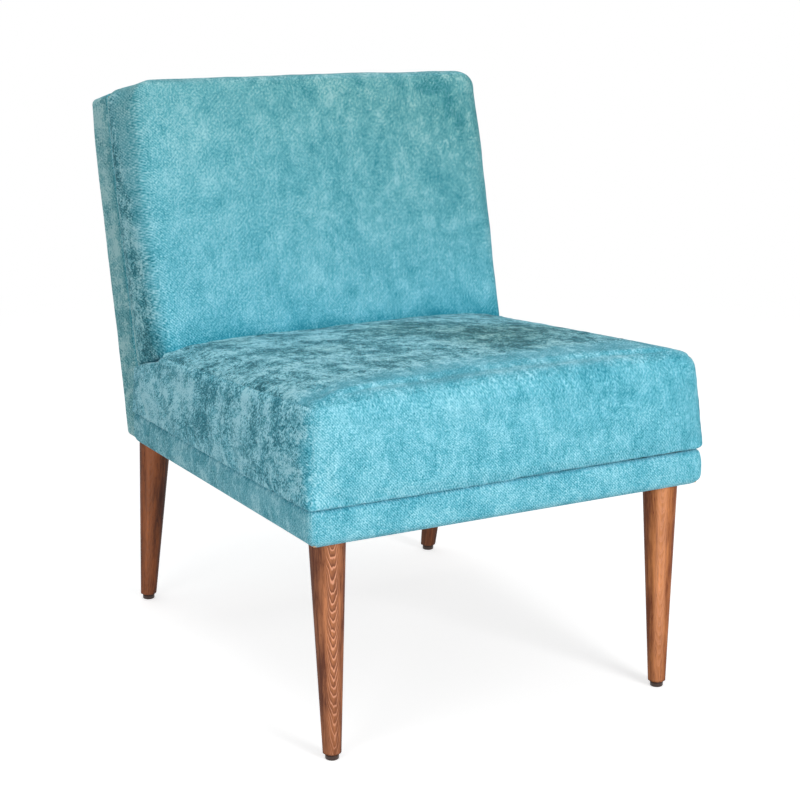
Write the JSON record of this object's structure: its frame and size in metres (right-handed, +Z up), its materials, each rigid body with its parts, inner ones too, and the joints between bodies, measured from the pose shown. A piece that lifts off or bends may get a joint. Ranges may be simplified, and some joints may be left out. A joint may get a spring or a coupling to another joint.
{
  "type": "slipper chair",
  "caption": "Armless low chair with a thick box seat cushion on an upholstered base band, a raked slab back with its own cushion, and round tapered timber legs with glides.",
  "frame": {"origin": "on the floor, in the middle of the chair's outline seen from above", "axes": "+Z up, front of the seat towards -Y, back towards +Y, the viewer's left of someone facing the chair towards -X"},
  "size_m": [0.5992, 0.7826, 0.8007],
  "materials": {
    "upholstery_fabric": "turquoise short-pile woven fabric with a soft directional nap",
    "foam": "matte cut upholstery foam",
    "felt_pad": "needled felt",
    "webbing": "woven elastic webbing",
    "dust_cloth": "matte non-woven cloth",
    "stained_beech": "red-brown stained beech, satin lacquer",
    "raw_beech": "planed beech, unfinished",
    "hardboard": "smooth pressed fibre board",
    "brown_plastic": "moulded, dark brown, satin",
    "zinc_plated_steel": "zinc plated"
  },
  "bodies": {
    "root": {"back_bottom_rail": "raw_beech", "back_cover": "upholstery_fabric", "back_foam": "foam", "back_lumbar_rail": "raw_beech", "back_stile_left": "raw_beech", "back_stile_right": "raw_beech", "back_top_rail": "raw_beech", "back_webbing_1": "webbing", "back_webbing_2": "webbing", "back_webbing_3": "webbing", "back_webbing_4": "webbing", "back_webbing_5": "webbing", "base_cover": "upholstery_fabric", "corner_block_front_left": "raw_beech", "corner_block_front_right": "raw_beech", "dust_cover": "dust_cloth", "glide_front_left": "brown_plastic", "glide_front_right": "brown_plastic", "glide_rear_left": "brown_plastic", "glide_rear_right": "brown_plastic", "hanger_bolt_front_left": "zinc_plated_steel", "hanger_bolt_front_right": "zinc_plated_steel", "hanger_bolt_rear_left": "zinc_plated_steel", "hanger_bolt_rear_right": "zinc_plated_steel", "join_bolt_1": "zinc_plated_steel", "join_bolt_2": "zinc_plated_steel", "join_bolt_3": "zinc_plated_steel", "join_bolt_4": "zinc_plated_steel", "join_nut_1": "zinc_plated_steel", "join_nut_2": "zinc_plated_steel", "join_nut_3": "zinc_plated_steel", "join_nut_4": "zinc_plated_steel", "leg_block_rear_left": "raw_beech", "leg_block_rear_right": "raw_beech", "leg_front_left": "stained_beech", "leg_front_right": "stained_beech", "leg_insert_front_left": "zinc_plated_steel", "leg_insert_front_right": "zinc_plated_steel", "leg_insert_rear_left": "zinc_plated_steel", "leg_insert_rear_right": "zinc_plated_steel", "leg_rear_left": "stained_beech", "leg_rear_right": "stained_beech", "outside_back_board": "hardboard", "seat_cover": "upholstery_fabric", "seat_foam": "foam", "seat_front_rail": "raw_beech", "seat_pad": "felt_pad", "seat_rear_rail": "raw_beech", "seat_side_rail_left": "raw_beech", "seat_side_rail_right": "raw_beech", "seat_webbing_crosswise_1": "webbing", "seat_webbing_crosswise_2": "webbing", "seat_webbing_crosswise_3": "webbing", "seat_webbing_lengthwise_1": "webbing", "seat_webbing_lengthwise_2": "webbing", "seat_webbing_lengthwise_3": "webbing", "seat_webbing_lengthwise_4": "webbing", "slab_cover": "upholstery_fabric"}
  },
  "joints": []
}
